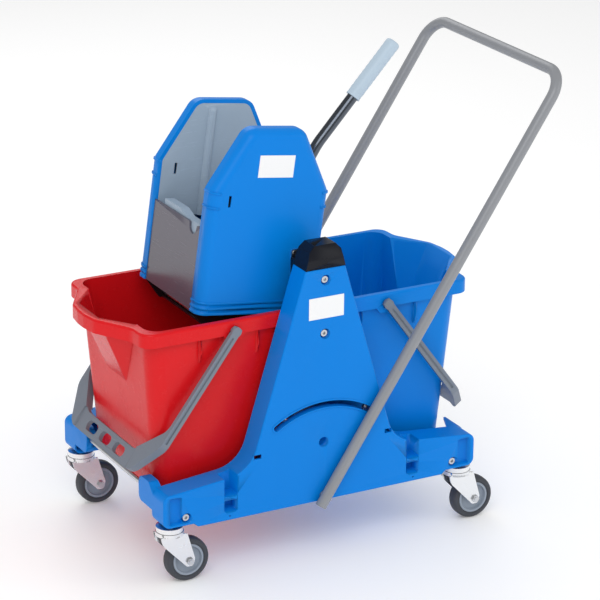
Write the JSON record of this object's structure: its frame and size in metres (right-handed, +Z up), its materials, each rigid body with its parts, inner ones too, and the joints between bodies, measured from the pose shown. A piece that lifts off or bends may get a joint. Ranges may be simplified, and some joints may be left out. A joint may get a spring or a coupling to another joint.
{
  "type": "double-bucket mopping trolley with wringer",
  "caption": "Mopping trolley on swivel casters with two lift-out buckets, a leaning push handle and a lever-worked press wringer hung between two side towers.",
  "frame": {"origin": "centre of the overall box, on the floor", "axes": "+X along the trolley towards the blue bucket, +Y across it away from the front side, +Z up"},
  "size_m": [0.8382, 0.457, 0.8629],
  "materials": {
    "blue_plastic": "satin moulded",
    "red_plastic": "satin moulded",
    "bail_plastic": "moulded",
    "liner_plastic": "moulded",
    "end_wall_plastic": "glossy",
    "jaw_plastic": "moulded",
    "cap_plastic": "satin",
    "handle_paint": "powder coat",
    "lever_chrome": "dark polished",
    "grip_plastic": "smooth",
    "zinc": "zinc plated",
    "steel": "drawn",
    "wheel_plastic": "moulded",
    "tyre_rubber": "moulded",
    "label_white": "blank"
  },
  "bodies": {
    "chassis": {"front_side_frame": "blue_plastic", "rear_side_frame": "blue_plastic", "base_cross_tubes": "steel", "tower_cross_tubes": "steel", "end_rod": "steel", "frame_screws": "steel", "front_tower_cap": "cap_plastic", "rear_tower_cap": "cap_plastic", "tower_label": "label_white", "caster_stem_front_left": "zinc", "caster_stem_front_right": "zinc", "caster_stem_rear_left": "zinc", "caster_stem_rear_right": "zinc"},
    "push_handle": {"push_handle_tube": "handle_paint", "handle_pivot_bolts": "steel", "handle_guide_bolts": "steel"},
    "red_bucket": {"red_bucket": "red_plastic"},
    "red_bail": {"red_bail": "bail_plastic"},
    "blue_bucket": {"blue_bucket": "blue_plastic"},
    "blue_bail": {"blue_bail": "bail_plastic"},
    "wringer": {"front_wringer_housing": "blue_plastic", "rear_wringer_housing": "blue_plastic", "front_liner": "liner_plastic", "rear_liner": "liner_plastic", "end_wall": "end_wall_plastic", "counter_plate": "liner_plastic", "sieve_floor": "liner_plastic", "tie_rods": "steel", "hanger_plates": "steel", "wringer_trunnions": "cap_plastic", "shaft_bushes": "cap_plastic", "wringer_label": "label_white"},
    "press_jaw": {"press_jaw": "jaw_plastic", "jaw_yokes": "steel"},
    "lever": {"lever_shaft": "steel", "lever_hub": "steel", "lever_cranks": "steel", "crank_rollers": "steel", "return_springs": "steel", "lever_tube": "lever_chrome", "lever_grip": "grip_plastic"},
    "swivel_front_left": {"fork_front_left": "zinc", "axle_front_left": "steel"},
    "wheel_front_left": {"wheel_core_front_left": "wheel_plastic", "tyre_front_left": "tyre_rubber"},
    "swivel_front_right": {"fork_front_right": "zinc", "axle_front_right": "steel"},
    "wheel_front_right": {"wheel_core_front_right": "wheel_plastic", "tyre_front_right": "tyre_rubber"},
    "swivel_rear_left": {"fork_rear_left": "zinc", "axle_rear_left": "steel"},
    "wheel_rear_left": {"wheel_core_rear_left": "wheel_plastic", "tyre_rear_left": "tyre_rubber"},
    "swivel_rear_right": {"fork_rear_right": "zinc", "axle_rear_right": "steel"},
    "wheel_rear_right": {"wheel_core_rear_right": "wheel_plastic", "tyre_rear_right": "tyre_rubber"}
  },
  "joints": [
    {"name": "push_handle_swing", "type": "hinge", "parent": "chassis", "child": "push_handle", "pos_m": [-0.05307, 0, 0.116], "axis": [0, 1, 0], "range_deg": [-66.4, 0]},
    {"name": "red_bucket_lift", "type": "slide", "parent": "chassis", "child": "red_bucket", "axis": [0, 0, 1], "range_m": [0, 0.004]},
    {"name": "red_bail_swing", "type": "hinge", "parent": "red_bucket", "child": "red_bail", "pos_m": [-0.20307, 0, 0.432], "axis": [0, 1, 0], "range_deg": [0, 130]},
    {"name": "blue_bucket_lift", "type": "slide", "parent": "chassis", "child": "blue_bucket", "axis": [0, 0, 1], "range_m": [0, 0.004]},
    {"name": "blue_bail_swing", "type": "hinge", "parent": "blue_bucket", "child": "blue_bail", "pos_m": [0.09693, 0, 0.432], "axis": [0, 1, 0], "range_deg": [-140, 0]},
    {"name": "wringer_lift", "type": "slide", "parent": "chassis", "child": "wringer", "axis": [0, 0, 1], "range_m": [0, 0.25]},
    {"name": "lever_pull", "type": "hinge", "parent": "wringer", "child": "lever", "pos_m": [-0.04636, 0, 0.55213], "axis": [0, 1, 0], "range_deg": [0, 60], "stiffness_Nm_per_rad": 2, "springref_deg": -45.84},
    {"name": "jaw_slide", "type": "slide", "parent": "wringer", "child": "press_jaw", "axis": [-0.991, 0, 0.134], "range_m": [0, 0.06]},
    {"name": "swivel_turn_front_left", "type": "hinge", "parent": "chassis", "child": "swivel_front_left", "pos_m": [-0.34107, -0.184, 0.1], "axis": [0, 0, 1], "continuous": true},
    {"name": "wheel_spin_front_left", "type": "hinge", "parent": "swivel_front_left", "child": "wheel_front_left", "pos_m": [-0.31007, -0.184, 0.04], "axis": [0, 1, 0], "continuous": true},
    {"name": "swivel_turn_front_right", "type": "hinge", "parent": "chassis", "child": "swivel_front_right", "pos_m": [0.23493, -0.184, 0.1], "axis": [0, 0, 1], "continuous": true},
    {"name": "wheel_spin_front_right", "type": "hinge", "parent": "swivel_front_right", "child": "wheel_front_right", "pos_m": [0.26593, -0.184, 0.04], "axis": [0, 1, 0], "continuous": true},
    {"name": "swivel_turn_rear_left", "type": "hinge", "parent": "chassis", "child": "swivel_rear_left", "pos_m": [-0.34107, 0.184, 0.1], "axis": [0, 0, 1], "continuous": true},
    {"name": "wheel_spin_rear_left", "type": "hinge", "parent": "swivel_rear_left", "child": "wheel_rear_left", "pos_m": [-0.31007, 0.184, 0.04], "axis": [0, 1, 0], "continuous": true},
    {"name": "swivel_turn_rear_right", "type": "hinge", "parent": "chassis", "child": "swivel_rear_right", "pos_m": [0.23493, 0.184, 0.1], "axis": [0, 0, 1], "continuous": true},
    {"name": "wheel_spin_rear_right", "type": "hinge", "parent": "swivel_rear_right", "child": "wheel_rear_right", "pos_m": [0.26593, 0.184, 0.04], "axis": [0, 1, 0], "continuous": true}
  ],
  "couplings": [
    {"joint": "jaw_slide", "follows": "lever_pull", "m_per_rad": 0.0571}
  ]
}
